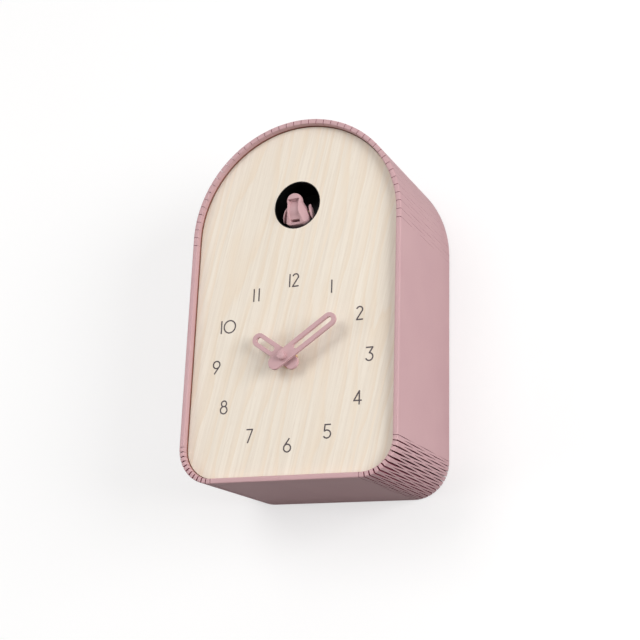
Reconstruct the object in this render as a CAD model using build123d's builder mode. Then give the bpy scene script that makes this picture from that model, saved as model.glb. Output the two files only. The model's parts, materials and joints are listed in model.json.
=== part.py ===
"""Wall cuckoo clock: an arched case of one bent board, a dial, a bird and two drives.

Frame: millimetres, +Z up. The wall is the plane y = 0 and the clock faces -Y. The origin is the
centre of the keyhole's entry hole, in the wall plane. Levels called u are distances in front of
the wall, so a point at level u has y = -u.
"""
from build123d import *
import os
from math import atan2, cos, degrees, pi, radians, sin, sqrt, tan

os.makedirs("parts", exist_ok=True)

# ---------------------------------------------------------------- driving dimensions
width = 200.0  # outside width of the case, and the diameter of its arched top
height = 322.0
depth = 122.5
board = 4.5  # thickness of the bent board
corner_radius = 32.0  # outside radius of the two lower corners
rim_ease = 1.0  # rounding of the front rim's edges
slot_length = 48.0  # the board bends where rows of slots cross it, along the depth
slot_bridge = 5.0  # uncut board between two slots of a row
first_slot_middle = 12.0  # behind the front rim
arch_rows = 87
arch_overrun = 3.5  # degrees of arch radius by which the rows run on below the springing
arch_slot_width = 0.4
corner_rows = 23
corner_overrun = 0.9
corner_slot_width = 0.7
recess = 6.5  # from the front rim back to the face panel
panel = 4.0  # thickness of the face and back panels
hang_height = 296.0  # keyhole above the base
dial_height = 102.0  # dial centre above the base
bird_height = 243.3  # bird hole centre above the base
bird_hole_radius = 22.1
numeral_radius = 71.7  # dial centre to the middle of each numeral
numeral_height = 12.3
stroke = 1.15  # line width of the numerals
ink = 0.15  # thickness of the printed numerals
minute_hand_angle = 55.9  # clockwise from twelve
hour_hand_angle = -55.3

# ---------------------------------------------------------------- worked-out levels
base = -hang_height
spring_z = base + height - width / 2  # where the arch springs from the straight sides
dial_z = base + dial_height
bird_z = base + bird_height
face_front = depth - recess
face_back = face_front - panel
glue = 0.1  # glue line between the board and what stands inside it
panel_gap = 0.5  # reveal round the two panels


def level(u):
    """A plane parallel to the wall, u in front of it, with local x = X and local y = Z."""
    return Plane.XZ.offset(u)


def save(sub_part, name):
    """Label a finished piece and write its STEP file."""
    sub_part.part.label = name
    export_step(sub_part.part, f"parts/{name}.step")


def case_face(inset):
    """The arch-topped outline of the case, moved inwards by inset, as a face in the sketch."""
    half = width / 2 - inset
    bottom = base + inset
    radius = max(corner_radius - inset, 2.0)
    with BuildLine() as outline:
        Line((-half + radius, bottom), (half - radius, bottom))
        CenterArc((half - radius, bottom + radius), radius, -90, 90)
        Line((half, bottom + radius), (half, spring_z))
        CenterArc((0, spring_z), half, 0, 180)
        Line((-half, spring_z), (-half, bottom + radius))
        CenterArc((-half + radius, bottom + radius), radius, 180, 90)
    make_face(outline.edges())


def turned(profile, centre, mode=Mode.ADD):
    """Revolve a closed (radius, u) profile about the line through centre = (x, z), along Y."""
    x, z = centre
    with BuildSketch(Plane(origin=(x, 0, z), x_dir=(1, 0, 0), z_dir=(0, 0, -1))) as section:
        Polygon(*profile, align=None)
    revolve(section.sketch, axis=Axis((x, 0, z), (0, 1, 0)), mode=mode)


def disc(radius, u0, u1, inner=0.0):
    """The (radius, u) profile of a disc or a tube from u0 to u1."""
    return [(inner, u0), (radius, u0), (radius, u1), (inner, u1)]


def block(low, high, mode=Mode.ADD):
    """A box between two corners given as (x, u, z)."""
    (x0, u0, z0), (x1, u1, z1) = low, high
    with BuildSketch(level(u0)) as section:
        with Locations(((x0 + x1) / 2, (z0 + z1) / 2)):
            Rectangle(x1 - x0, z1 - z0)
    extrude(section.sketch, amount=u1 - u0, mode=mode)


# ---------------------------------------------------------------- case
def bend_rows(centre, radius, start, overrun, sweep, rows):
    """Where rows of slots cross a bend's outside: (point, direction in degrees) of each row."""
    places = []
    for row in range(rows):
        angle = start - overrun + (sweep + 2 * overrun) * row / (rows - 1)
        direction = min(max(angle, start), start + sweep)
        facing_out = radians(direction)
        straight_on = radius * radians(angle - direction)
        x = centre[0] + radius * cos(facing_out) - straight_on * sin(facing_out)
        z = centre[1] + radius * sin(facing_out) + straight_on * cos(facing_out)
        places.append(((x, z), direction))
    return places


def cut_slots(places, slot_width):
    """Cut rows of slots through the board; the slots of one row face the bridges of the next."""
    slot_pitch = slot_length + slot_bridge
    for parity in (0, 1):
        with BuildSketch(level(0)) as rows:
            for place, direction in places[parity::2]:
                with Locations(Location((*place, 0), (0, 0, direction))):
                    Rectangle(2 * board + 1, slot_width)
        middle = depth - first_slot_middle - parity * slot_pitch / 2
        while middle > 0:
            low = middle - slot_length / 2
            high = min(middle + slot_length / 2, depth + 1)
            slots = rows.sketch.moved(Location((0, -low, 0)))
            extrude(slots, amount=high - low, mode=Mode.SUBTRACT)
            middle -= slot_pitch


with BuildPart() as case_wrap:
    with BuildSketch(level(0)):
        case_face(0)
    extrude(amount=depth)
    with BuildSketch(level(0)):
        case_face(board)
    extrude(amount=depth, mode=Mode.SUBTRACT)
    fillet(case_wrap.faces().sort_by(Axis.Y)[0].edges(), radius=rim_ease)
    corner_x = width / 2 - corner_radius
    corner_z = base + corner_radius
    cut_slots(
        bend_rows((0, spring_z), width / 2, 0, arch_overrun, 180, arch_rows), arch_slot_width
    )
    for corner, start in ((corner_x, -90), (-corner_x, 180)):
        cut_slots(
            bend_rows((corner, corner_z), corner_radius, start, corner_overrun, 90, corner_rows),
            corner_slot_width,
        )
save(case_wrap, "case_wrap")

bush_radius = 3.9
bush_clearance = 0.15
with BuildPart() as front_panel:
    with BuildSketch(level(face_back)):
        case_face(board + panel_gap)
        with Locations((0, bird_z)):
            Circle(bird_hole_radius, mode=Mode.SUBTRACT)
        with Locations((0, dial_z)):
            Circle(bush_radius + bush_clearance, mode=Mode.SUBTRACT)
    extrude(amount=panel)
save(front_panel, "front_panel")

frame_width = 9.5
front_frame_depth = 9.0
rear_frame_depth = 12.0
with BuildPart() as front_frame:
    with BuildSketch(level(face_back - front_frame_depth)):
        case_face(board + glue)
    extrude(amount=front_frame_depth)
    with BuildSketch(level(face_back - front_frame_depth)):
        case_face(board + frame_width)
    extrude(amount=front_frame_depth, mode=Mode.SUBTRACT)
save(front_frame, "front_frame")

# Six countersunk screws hold the back panel to the rear frame.
screw_radius = 1.45
screw_head_radius = 3.2
screw_head_depth = 1.9
screw_length = 13.0
screw_line = width / 2 - board - frame_width / 2
top_screw_angle = 55.0
bottom_screw_x = 52.0
screw_spots = []
for side in (-1, 1):
    screw_spots.append((side * bottom_screw_x, base + board + frame_width / 2))
    screw_spots.append((side * screw_line, dial_z + 12))
    screw_spots.append(
        (
            side * screw_line * sin(radians(top_screw_angle)),
            spring_z + screw_line * cos(radians(top_screw_angle)),
        )
    )

with BuildPart() as rear_frame:
    with BuildSketch(level(panel)):
        case_face(board + glue)
    extrude(amount=rear_frame_depth)
    with BuildSketch(level(panel)):
        case_face(board + frame_width)
        with Locations(*screw_spots):
            Circle(screw_radius + 0.05)
    extrude(amount=rear_frame_depth, mode=Mode.SUBTRACT)
save(rear_frame, "rear_frame")

keyhole_radius = 4.5
keyhole_slot_radius = 2.2
keyhole_slot_height = 10.0
window_half = 38.0  # service window behind the movement and the battery tray
window_bottom = base + 20.0
window_top = base + 124.0
window_radius = 8.0
control_z = base + 138.0  # window over the sound switch and the volume knob
control_size = (40.0, 13.0)
speaker_z = base + 178.0
sound_slot_pitch = 6.0
sound_slot_width = 2.6
sound_field_radius = 20.0
with BuildPart() as back_panel:
    with BuildSketch(level(0)):
        case_face(board + panel_gap)
        Circle(keyhole_radius, mode=Mode.SUBTRACT)
        with Locations((0, keyhole_slot_height / 2)):
            Rectangle(2 * keyhole_slot_radius, keyhole_slot_height, mode=Mode.SUBTRACT)
        with Locations((0, keyhole_slot_height)):
            Circle(keyhole_slot_radius, mode=Mode.SUBTRACT)
        with Locations((0, (window_bottom + window_top) / 2)):
            RectangleRounded(
                2 * window_half, window_top - window_bottom, window_radius, mode=Mode.SUBTRACT
            )
        with Locations((0, control_z)):
            RectangleRounded(*control_size, 3.0, mode=Mode.SUBTRACT)
        for step in range(-3, 4):
            slot_x = step * sound_slot_pitch
            slot_length = 2 * sqrt(sound_field_radius**2 - slot_x**2)
            with Locations((slot_x, speaker_z)):
                SlotOverall(slot_length, sound_slot_width, rotation=90, mode=Mode.SUBTRACT)
    extrude(amount=panel)
    for spot in screw_spots:
        turned(
            [
                (0, 0),
                (screw_head_radius + 0.1, 0),
                (screw_radius + 0.35, screw_head_depth),
                (screw_radius + 0.35, panel),
                (0, panel),
            ],
            spot,
            mode=Mode.SUBTRACT,
        )
save(back_panel, "back_panel")

with BuildPart() as back_screws:
    for spot in screw_spots:
        turned(
            [
                (0, 0.15),
                (screw_head_radius - 0.1, 0.15),
                (screw_radius, screw_head_depth),
                (screw_radius, screw_length - 2),
                (0.2, screw_length),
                (0, screw_length),
            ],
            spot,
        )
        x, z = spot
        for size in ((3.4, 0.7), (0.7, 3.4)):
            block(
                (x - size[0] / 2, 0.15, z - size[1] / 2),
                (x + size[0] / 2, 1.0, z + size[1] / 2),
                mode=Mode.SUBTRACT,
            )
save(back_screws, "back_screws")

# ---------------------------------------------------------------- dial numerals
cap_line = numeral_height / 2  # top edge of a numeral above its middle
top_line = cap_line - stroke / 2  # middle of its top stroke
big_ring = cap_line - stroke / 2
bowl = 3.2


def line_stroke(centre, *points):
    """Straight strokes through points given relative to a numeral's centre."""
    cx, cz = centre
    for (x0, z0), (x1, z1) in zip(points, points[1:]):
        length = sqrt((x1 - x0) ** 2 + (z1 - z0) ** 2)
        slope = degrees(atan2(z1 - z0, x1 - x0))
        with Locations((cx + (x0 + x1) / 2, cz + (z0 + z1) / 2)):
            Rectangle(length + 0.5 * stroke, stroke, rotation=slope)


def arc_stroke(centre, offset, radius, start, turn):
    """A round stroke whose middle line turns by turn degrees from start."""
    middle = (centre[0] + offset[0], centre[1] + offset[1])
    steps = max(int(abs(turn) / 9), 2)
    angles = [radians(start + turn * k / steps) for k in range(steps + 1)]
    outer = [(radius + stroke / 2, angle) for angle in angles]
    inner = [(radius - stroke / 2, angle) for angle in reversed(angles)]
    rim = [(middle[0] + r * cos(a), middle[1] + r * sin(a)) for r, a in outer + inner]
    Polygon(*rim, align=None)


def ring_stroke(centre, offset, radius):
    """A closed ring of one stroke's width."""
    arc_stroke(centre, offset, radius, -2, 184)
    arc_stroke(centre, offset, radius, 178, 184)


def one(centre):
    line_stroke(centre, (0, -top_line), (0, top_line))


def two(centre):
    arc_stroke(centre, (0, top_line - 2.6), 2.6, 165, -200)
    line_stroke(centre, (2.1, 1.6), (-2.7, -top_line), (2.8, -top_line))


def three(centre):
    line_stroke(centre, (-2.9, top_line), (2.9, top_line), (-0.2, 0.75))
    arc_stroke(centre, (-0.2, -top_line + bowl), bowl, 92, -250)


def four(centre):
    line_stroke(centre, (1.5, top_line), (-3.3, -2.4), (3.4, -2.4))
    line_stroke(centre, (1.5, -top_line), (1.5, top_line))


def five(centre):
    line_stroke(centre, (2.9, top_line), (-2.0, top_line), (-2.5, 0.3))
    arc_stroke(centre, (-0.2, -top_line + bowl + 0.1), bowl + 0.1, 135, -285)


def six(centre):
    ring_stroke(centre, (0, -top_line + bowl), bowl)
    line_stroke(centre, (-2.75, -top_line + bowl + 1.7), (1.7, top_line))


def seven(centre):
    line_stroke(centre, (-2.7, top_line), (2.7, top_line), (-1.4, -top_line))


def eight(centre):
    ring_stroke(centre, (0, top_line - 2.45), 2.45)
    ring_stroke(centre, (0, -top_line + bowl), bowl)


def nine(centre):
    ring_stroke(centre, (0, top_line - bowl), bowl)
    line_stroke(centre, (2.75, top_line - bowl - 1.7), (-1.7, -top_line))


def ten(centre):
    one((centre[0] - 6.9, centre[1]))
    ring_stroke((centre[0] + 1.3, centre[1]), (0, 0), big_ring)


def eleven(centre):
    one((centre[0] - 2.5, centre[1]))
    one((centre[0] + 2.5, centre[1]))


def twelve(centre):
    one((centre[0] - 4.0, centre[1]))
    two((centre[0] + 1.5, centre[1]))


numerals = [one, two, three, four, five, six, seven, eight, nine, ten, eleven, twelve]
with BuildPart() as dial_numerals:
    with BuildSketch(level(face_front)):
        for hour, numeral in enumerate(numerals, start=1):
            clockwise = radians(30 * hour)
            numeral_x = numeral_radius * sin(clockwise)
            numeral((numeral_x, dial_z + numeral_radius * cos(clockwise)))
    extrude(amount=ink)
save(dial_numerals, "dial_numerals")

# ---------------------------------------------------------------- movement: arbors and wheels
# Each pinion has a tooth, and each wheel a gap, on the line to its mate, so all are in mesh.
tooth_root = 0.25  # half widths of a tooth at its root and tip, as shares of the pitch
tooth_tip = 0.12
addendum = 0.75  # in modules
dedendum = 1.05
pivot_clearance = 0.05

cannon_teeth, motion_teeth, motion_module = 12, 36, 0.5
change_teeth, hour_teeth, hour_module = 10, 40, 0.48
centre_teeth, centre_module = 64, 0.33
third_teeth, third_module = 60, 0.35
fourth_teeth, fourth_module = 40, 0.4
fifth_teeth, fifth_module = 48, 0.3
leaf_teeth = 8  # leaves on each going-train pinion


def beside(centre, module, teeth, angle):
    """The centre of a mating gear, at a given angle from this one."""
    distance = module * teeth / 2
    return (centre[0] + distance * cos(radians(angle)), centre[1] + distance * sin(radians(angle)))


def facing(start, end):
    """The direction in degrees from one centre to another."""
    return degrees(atan2(end[1] - start[1], end[0] - start[0]))


centre_at = (0.0, dial_z)
motion_at = beside(centre_at, motion_module, cannon_teeth + motion_teeth, 160)
third_at = beside(centre_at, centre_module, centre_teeth + leaf_teeth, 60)
fourth_at = beside(third_at, third_module, third_teeth + leaf_teeth, -20)
fifth_at = beside(fourth_at, fourth_module, fourth_teeth + leaf_teeth, -80)
rotor_at = beside(fifth_at, fifth_module, fifth_teeth + leaf_teeth, 195)


def gear_outline(teeth, module, centre, tooth_at):
    """A gear's outline as a face in the sketch, with one tooth pointing at tooth_at degrees."""
    pitch = pi * module
    pitch_radius = module * teeth / 2
    flanks = (
        (pitch_radius - dedendum * module, -tooth_root),
        (pitch_radius + addendum * module, -tooth_tip),
        (pitch_radius + addendum * module, tooth_tip),
        (pitch_radius - dedendum * module, tooth_root),
    )
    points = []
    for tooth in range(teeth):
        middle = radians(tooth_at) + 2 * pi * tooth / teeth
        for radius, share in flanks:
            angle = middle + share * pitch / radius
            points.append((centre[0] + radius * cos(angle), centre[1] + radius * sin(angle)))
    Polygon(*points, align=None)


def pinion(teeth, module, centre, mate, u0, u1):
    """A pinion on the arbor at centre, one tooth pointing at its mate."""
    with BuildSketch(level(u0)) as outline:
        gear_outline(teeth, module, centre, facing(centre, mate))
    extrude(outline.sketch, amount=u1 - u0)


def wheel(teeth, module, centre, mate, u0, u1, spokes=0):
    """A wheel on the arbor at centre, one gap facing its mate, lightened between its spokes."""
    pitch_radius = module * teeth / 2
    with BuildSketch(level(u0)) as outline:
        gear_outline(teeth, module, centre, facing(centre, mate) + 180 / teeth)
        if spokes:
            with Locations(centre):
                with PolarLocations(0.57 * pitch_radius, spokes, start_angle=45):
                    Circle(0.24 * pitch_radius, mode=Mode.SUBTRACT)
    extrude(outline.sketch, amount=u1 - u0)


# Levels in the movement, from its front wall towards the wall plane.
movement_front = face_back
movement_wall = 1.2
movement_depth = 18.0
movement_rear = movement_front - movement_depth
inner_front = movement_front - movement_wall
inner_rear = movement_rear + movement_wall
hour_level = (inner_front - 1.6, inner_front - 0.4)
motion_level = (inner_front - 3.4, inner_front - 2.2)
centre_level = (inner_front - 5.2, inner_front - 4.2)
third_level = (inner_front - 7.0, inner_front - 6.0)
fourth_level = (inner_front - 8.8, inner_front - 7.8)
fifth_level = (inner_front - 10.6, inner_front - 9.6)
stator_level = (inner_front - 13.0, inner_front - 11.6)
pivot_front = inner_front + 0.8  # blind pivot holes in the front wall end here
blind_front = inner_front + 0.9

arbor_radius = 0.6
motion_arbor_radius = 0.7
going_arbor_radius = 0.5
minute_shaft_radius = 1.5
hour_tube_inner = minute_shaft_radius + 0.08
hour_tube_radius = 2.5
bush_inner = hour_tube_radius + 0.08

# Levels of the hands in front of the face.
hand_thickness = 2.4
hour_hand_front = depth + 4.8
minute_hand_front = depth + 9.4
cap_front = depth + 14.0
cap_radius = 3.5

# The minute arbor: centre wheel, cannon pinion and the shaft to the minute hand.
with BuildPart() as minute_arbor:
    wheel(centre_teeth, centre_module, centre_at, third_at, *centre_level, spokes=4)
    pinion(cannon_teeth, motion_module, centre_at, motion_at, centre_level[1], motion_level[1])
    turned(disc(minute_shaft_radius, motion_level[1] - 0.5, minute_hand_front + 1.5), centre_at)
    turned(disc(arbor_radius, movement_rear + 0.4, centre_level[1]), centre_at)
save(minute_arbor, "minute_arbor")

# The hour wheel and its tube run on the minute shaft.
with BuildPart() as hour_wheel:
    wheel(hour_teeth, hour_module, centre_at, motion_at, *hour_level)
    turned(disc(hour_tube_radius, hour_level[0], hour_hand_front), centre_at)
    bore = disc(hour_tube_inner, hour_level[0] - 1, hour_hand_front + 1)
    turned(bore, centre_at, mode=Mode.SUBTRACT)
save(hour_wheel, "hour_wheel")

# The motion wheel joins the cannon pinion to the hour wheel; its arbor carries the setting knob.
with BuildPart() as motion_wheel:
    wheel(motion_teeth, motion_module, motion_at, centre_at, *motion_level, spokes=4)
    pinion(change_teeth, hour_module, motion_at, centre_at, motion_level[1], hour_level[1])
    turned(disc(motion_arbor_radius, movement_rear - 5.5, pivot_front), motion_at)
save(motion_wheel, "motion_wheel")

knob_radius = 6.0
with BuildPart() as setting_knob:
    turned(disc(knob_radius, movement_rear - 5.5, movement_rear - 1.5), motion_at)
    turned(disc(2.2, movement_rear - 1.5, movement_rear - 0.3), motion_at)
    with BuildSketch(level(movement_rear - 5.5)):
        with Locations(motion_at):
            with PolarLocations(knob_radius, 18):
                Circle(0.45)
    extrude(amount=4.0, mode=Mode.SUBTRACT)
    turned(disc(motion_arbor_radius, movement_rear - 6, movement_rear), motion_at, mode=Mode.SUBTRACT)
save(setting_knob, "setting_knob")


def train_arbor(centre, teeth, module, driver, wheel_level, driven, driven_module, leaf_level):
    """A going-train arbor: a wheel that its driver turns, and an eight-leaf pinion."""
    wheel(teeth, module, centre, driver, *wheel_level, spokes=4)
    pinion(leaf_teeth, driven_module, centre, driven, *leaf_level)
    turned(disc(going_arbor_radius, movement_rear + 0.4, pivot_front), centre)


with BuildPart() as third_wheel:
    train_arbor(
        third_at, third_teeth, third_module, fourth_at, third_level,
        centre_at, centre_module, (third_level[1], centre_level[1]),
    )
save(third_wheel, "third_wheel")

with BuildPart() as fourth_wheel:
    train_arbor(
        fourth_at, fourth_teeth, fourth_module, fifth_at, fourth_level,
        third_at, third_module, (fourth_level[1], third_level[1]),
    )
save(fourth_wheel, "fourth_wheel")

with BuildPart() as fifth_wheel:
    train_arbor(
        fifth_at, fifth_teeth, fifth_module, rotor_at, fifth_level,
        fourth_at, fourth_module, (fifth_level[1], fourth_level[1]),
    )
save(fifth_wheel, "fifth_wheel")

# The rotor: a small disc magnet with a pinion, turning in the stator's hole.
rotor_radius = 2.8
rotor_pivot_radius = 0.35
with BuildPart() as rotor:
    pinion(leaf_teeth, fifth_module, rotor_at, fifth_at, stator_level[1], fifth_level[1])
    turned(disc(rotor_radius, stator_level[0] - 0.3, stator_level[1] + 0.3), rotor_at)
    turned(disc(rotor_pivot_radius, movement_rear + 0.4, pivot_front), rotor_at)
save(rotor, "rotor")

stator_hole = rotor_radius + 0.4
bar_top = rotor_at[1] + 2.8
bar_bottom = rotor_at[1] - 3.4
coil_z = bar_bottom - 2.9
coil_left, coil_right = -22.5, -2.5
leg_width = 3.0
with BuildPart() as stator:
    block(
        (coil_left - leg_width - 0.5, stator_level[0], bar_bottom),
        (rotor_at[0] + 4.6, stator_level[1], bar_top),
    )
    for leg_x in (coil_left - leg_width - 0.5, coil_right + 0.5):
        block(
            (leg_x, stator_level[0], coil_z - 1.2),
            (leg_x + leg_width, stator_level[1], bar_bottom),
        )
    turned(disc(stator_hole, stator_level[0] - 1, stator_level[1] + 1), rotor_at, mode=Mode.SUBTRACT)
save(stator, "stator")

coil_level = stator_level[1]
core_height = 1.2
with BuildPart() as coil_core:
    block(
        (coil_left - leg_width - 0.5, coil_level, coil_z - 1.2),
        (coil_right + leg_width + 0.5, coil_level + core_height, coil_z + 1.2),
    )
save(coil_core, "coil_core")

coil_radius = 2.5
coil_middle = coil_level + core_height / 2
with BuildPart() as coil:
    with BuildSketch(Plane.YZ.offset(coil_left)):
        with Locations((-coil_middle, coil_z)):
            Circle(coil_radius)
            Rectangle(core_height, 2.4, mode=Mode.SUBTRACT)
    extrude(amount=coil_right - coil_left)
save(coil, "coil")

# Movement case: a tub with a battery bay below the train, closed at the rear by a cover.
movement_half = 28.0
movement_top = dial_z + 26.0
bay_top = dial_z - 15.0
movement_bottom = bay_top - 17.0
battery_radius = 7.1
battery_length = 50.0
battery_level = inner_front - battery_radius - 0.4
battery_z = (bay_top + movement_bottom) / 2
tub_corner = 3.0


def tub_outline(inset):
    """The movement's outline, rounded, moved inwards by inset, as a face in the sketch."""
    with Locations((0, (movement_top + movement_bottom) / 2)):
        RectangleRounded(
            2 * (movement_half - inset),
            movement_top - movement_bottom - 2 * inset,
            tub_corner - inset,
        )


arbors = {
    motion_at: motion_arbor_radius,
    third_at: going_arbor_radius,
    fourth_at: going_arbor_radius,
    fifth_at: going_arbor_radius,
    rotor_at: rotor_pivot_radius,
}
with BuildPart() as movement_case:
    with BuildSketch(level(movement_rear)):
        tub_outline(0)
    extrude(amount=movement_depth)
    with BuildSketch(level(movement_rear)):
        tub_outline(movement_wall)
        with Locations((0, bay_top)):
            Rectangle(2 * movement_half, movement_wall, mode=Mode.SUBTRACT)
    extrude(amount=inner_front - movement_rear, mode=Mode.SUBTRACT)
    turned(disc(bush_radius, inner_front - 1, movement_front + 1), centre_at, mode=Mode.SUBTRACT)
    for centre, radius in arbors.items():
        pivot = disc(radius + pivot_clearance, inner_front - 0.5, blind_front)
        turned(pivot, centre, mode=Mode.SUBTRACT)
save(movement_case, "movement_case")

# The threaded centre bush clamps the movement to the face panel with a nut.
bush_front = face_front + 6.5
with BuildPart() as centre_bush:
    turned(disc(bush_radius, inner_front, bush_front, inner=bush_inner), centre_at)
    thread_pitch = 0.75
    grooves = int((bush_front - face_front - 1.0) / thread_pitch)
    for turn in range(grooves):
        groove = face_front + 0.8 + turn * thread_pitch
        turned(
            [
                (bush_radius + 0.1, groove - 0.3),
                (bush_radius + 0.1, groove + 0.3),
                (bush_radius - 0.25, groove),
            ],
            centre_at,
            mode=Mode.SUBTRACT,
        )
save(centre_bush, "centre_bush")

washer_thickness = 0.8
nut_thickness = 2.4
with BuildPart() as dial_washer:
    washer_top = face_front + washer_thickness
    turned(disc(7.0, face_front, washer_top, inner=bush_radius + 0.1), centre_at)
save(dial_washer, "dial_washer")

with BuildPart() as dial_nut:
    with BuildSketch(level(face_front + washer_thickness)):
        with Locations(centre_at):
            RegularPolygon(6.2, 6)
            Circle(bush_radius + 0.02, mode=Mode.SUBTRACT)
    extrude(amount=nut_thickness)
save(dial_nut, "dial_nut")

with BuildPart() as movement_cover:
    with BuildSketch(level(movement_rear)):
        with Locations((0, (movement_top + bay_top) / 2)):
            RectangleRounded(
                2 * (movement_half - movement_wall - glue),
                movement_top - bay_top - 2 * movement_wall - 2 * glue,
                tub_corner - movement_wall,
            )
    extrude(amount=movement_wall)
    turned(disc(motion_arbor_radius + pivot_clearance, movement_rear - 1, inner_rear + 1), motion_at,
           mode=Mode.SUBTRACT)
    for centre, radius in {**arbors, centre_at: arbor_radius}.items():
        if centre != motion_at:
            pivot = disc(radius + pivot_clearance, movement_rear + 0.3, inner_rear + 1)
            turned(pivot, centre, mode=Mode.SUBTRACT)
save(movement_cover, "movement_cover")

with BuildPart() as movement_battery:
    with BuildSketch(Plane.YZ.offset(-battery_length / 2)):
        with Locations((-battery_level, battery_z)):
            Circle(battery_radius)
    extrude(amount=battery_length - 1.2)
    with BuildSketch(Plane.YZ.offset(battery_length / 2 - 1.2)):
        with Locations((-battery_level, battery_z)):
            Circle(2.6)
    extrude(amount=1.2)
save(movement_battery, "movement_battery")

contact_thickness = 0.4
with BuildPart() as battery_contacts:
    for side in (-1, 1):
        outer_x = side * (movement_half - movement_wall)
        inner_x = outer_x - side * contact_thickness
        block(
            (min(outer_x, inner_x), battery_level - 5, battery_z - 4),
            (max(outer_x, inner_x), battery_level + 5, battery_z + 4),
        )
        spring_x = side * battery_length / 2
        with BuildSketch(Plane.YZ.offset(min(spring_x, inner_x))):
            with Locations((-battery_level, battery_z)):
                Circle(3.4)
                Circle(2.7, mode=Mode.SUBTRACT)
        extrude(amount=abs(inner_x - spring_x))
save(battery_contacts, "battery_contacts")

# Timing board with the quartz can, in the free corner above the motion wheel.
board_level = (inner_rear + 0.6, inner_rear + 1.6)
with BuildPart() as timing_board:
    block((-26, board_level[0], dial_z + 13.0), (-3, board_level[1], dial_z + 24.0))
    block((-13, board_level[1], dial_z + 15), (-7, board_level[1] + 1.4, dial_z + 21))
save(timing_board, "timing_board")

crystal_radius = 1.5
with BuildPart() as quartz_crystal:
    with BuildSketch(Plane.YZ.offset(-24)):
        with Locations((-board_level[1] - crystal_radius - 0.05, dial_z + 21.5)):
            Circle(crystal_radius)
    extrude(amount=7)
save(quartz_crystal, "quartz_crystal")

# ---------------------------------------------------------------- hands
hand_width = 12.2
hand_slot = 4.6
hand_ease = 0.5  # rounding of the front edges
minute_reach, minute_tail, minute_slot_ends = 56.0, 14.5, (12.0, 52.0)
hour_reach, hour_tail, hour_slot_ends = 37.0, 13.5, (13.0, 33.0)


def hand(front, reach, tail, slot_ends, clockwise, hole_radius):
    """A round-ended hand with a long slot, turned clockwise from twelve about the dial centre."""
    plane = Plane(
        origin=(0, -(front - hand_thickness), dial_z),
        x_dir=(sin(radians(clockwise)), 0, cos(radians(clockwise))),
        z_dir=(0, -1, 0),
    )
    with BuildSketch(plane) as outline:
        with Locations(((reach - tail) / 2, 0)):
            SlotOverall(reach + tail, hand_width)
        with Locations((sum(slot_ends) / 2, 0)):
            SlotOverall(slot_ends[1] - slot_ends[0], hand_slot, mode=Mode.SUBTRACT)
        Circle(hole_radius, mode=Mode.SUBTRACT)
    blank = extrude(outline.sketch, amount=hand_thickness)
    fillet(blank.faces().sort_by(Axis.Y)[0].edges(), radius=hand_ease)


with BuildPart() as minute_hand:
    hand(minute_hand_front, minute_reach, minute_tail, minute_slot_ends, minute_hand_angle,
         minute_shaft_radius)
save(minute_hand, "minute_hand")

with BuildPart() as hour_hand:
    hand(hour_hand_front, hour_reach, hour_tail, hour_slot_ends, hour_hand_angle, hour_tube_radius)
save(hour_hand, "hour_hand")

with BuildPart() as hand_cap:
    turned(
        [
            (0, minute_hand_front + 1.5),
            (minute_shaft_radius, minute_hand_front + 1.5),
            (minute_shaft_radius, minute_hand_front),
            (cap_radius, minute_hand_front),
            (cap_radius, cap_front - 0.8),
            (cap_radius * 0.75, cap_front - 0.2),
            (0, cap_front),
        ],
        centre_at,
    )
save(hand_cap, "hand_cap")

# ---------------------------------------------------------------- bird
bird_front = face_front + 7.5  # the breast, where the parked bird peeks out furthest
bird_foot = bird_z - 18.7
head_radius = 7.1
head_level = bird_front - 3.2
head_z = bird_z + 1.6
brow_front = bird_front + 1.0  # the head is cut flat in front
hood_z = bird_z + 2.5  # underside of the hood that overhangs the breast
cheek_front = bird_front + 0.6
cheek_half = 5.4
breast_half = 4.8
flank_half = 10.6
flank_setback = 11.0
bar_half = 3.0  # half the side of the square bar that carries the bird
bar_z = bird_z - 12.0
bar_front = bird_front - 14.0
bar_rear = 18.0
pin_radius = 1.0
pin_half = 11.9
pin_level = bird_front - 12.0
pin_z = bird_z - 6.0


def front_silhouette():
    """The body seen from the front, widening from the neck to its flanks."""
    with BuildLine() as outline:
        neck = Line((5.6, bird_z + 3.0), (-5.6, bird_z + 3.0))
        left = Spline(
            neck @ 1,
            (-9.0, bird_z - 5.5),
            (-flank_half, bird_z - 12.5),
            tangents=((-0.3, -1), (0, -1)),
        )
        foot_left = ThreePointArc(left @ 1, (-9.6, bird_z - 16.2), (-6.0, bird_foot))
        foot = Line(foot_left @ 1, (6.0, bird_foot))
        foot_right = ThreePointArc(foot @ 1, (9.6, bird_z - 16.2), (flank_half, bird_z - 12.5))
        Spline(
            foot_right @ 1,
            (9.0, bird_z - 5.5),
            neck @ 0,
            tangents=((0, 1), (-0.3, 1)),
        )
    make_face(outline.edges())


def side_silhouette():
    """The body seen from its side: full breast and a back that falls to the tail."""
    with BuildLine() as outline:
        breast = Spline(
            (-bird_front + 5.6, bird_foot),
            (-bird_front - 0.3, bird_z - 9.0),
            (-cheek_front, bird_z + 1.0),
            tangents=((-0.5, 1), (0, 1)),
        )
        throat = Line(breast @ 1, (-head_level - 2.0, bird_z + 3.0))
        neck = Line(throat @ 1, (-head_level + 3.0, bird_z + 3.0))
        nape = Spline(neck @ 1, (-bird_front + 11.0, bird_z - 1.0), (-bird_front + 17, bird_z - 6.5))
        back = Line(nape @ 1, (-bird_front + 25.0, bird_z - 13.0))
        rump = Line(back @ 1, (-bird_front + 19, bird_foot))
        Line(rump @ 1, breast @ 0)
    make_face(outline.edges())


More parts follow.
